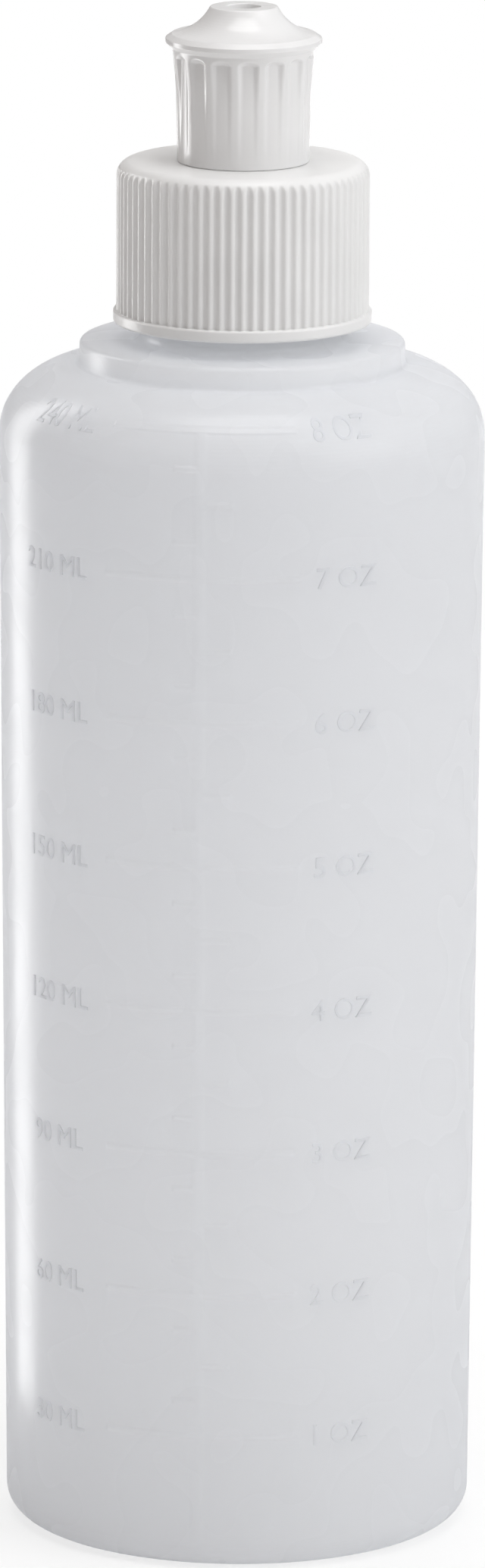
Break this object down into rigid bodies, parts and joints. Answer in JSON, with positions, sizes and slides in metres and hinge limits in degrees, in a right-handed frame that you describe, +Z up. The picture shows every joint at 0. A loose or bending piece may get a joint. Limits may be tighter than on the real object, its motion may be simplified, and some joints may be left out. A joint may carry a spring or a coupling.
{
  "type": "peri bottle",
  "caption": "Translucent squeeze bottle with a raised volume scale, a ribbed screw cap and a push-pull spout, for rinsing after birth.",
  "frame": {"origin": "middle of the base, on the surface that the bottle stands on", "axes": "+Z up along the bottle's axis, -Y the front with the volume scale, +X to the right of someone who faces the scale"},
  "size_m": [0.0508, 0.0511, 0.1619],
  "materials": {
    "bottle_plastic": "translucent, softly glossy",
    "cap_plastic": "satin white",
    "spout_plastic": "gloss white",
    "washer_foam": "matt foamed plastic"
  },
  "bodies": {
    "bottle_body": {"bottle": "bottle_plastic"},
    "washer_body": {"washer": "washer_foam"},
    "cap_body": {"cap": "cap_plastic"},
    "spout_body": {"spout": "spout_plastic"}
  },
  "joints": [
    {"name": "cap_lift", "type": "slide", "parent": "bottle_body", "child": "washer_body", "axis": [0, 0, 1], "range_m": [0, 0.00476]},
    {"name": "cap_twist", "type": "hinge", "parent": "washer_body", "child": "cap_body", "pos_m": [0, 0, 0.1287], "axis": [0, 0, 1], "range_deg": [0, 540]},
    {"name": "spout_pull", "type": "slide", "parent": "cap_body", "child": "spout_body", "axis": [0, 0, 1], "range_m": [0, 0.0045]}
  ],
  "couplings": [
    {"joint": "cap_lift", "follows": "cap_twist", "m_per_rad": 0.00050532}
  ]
}
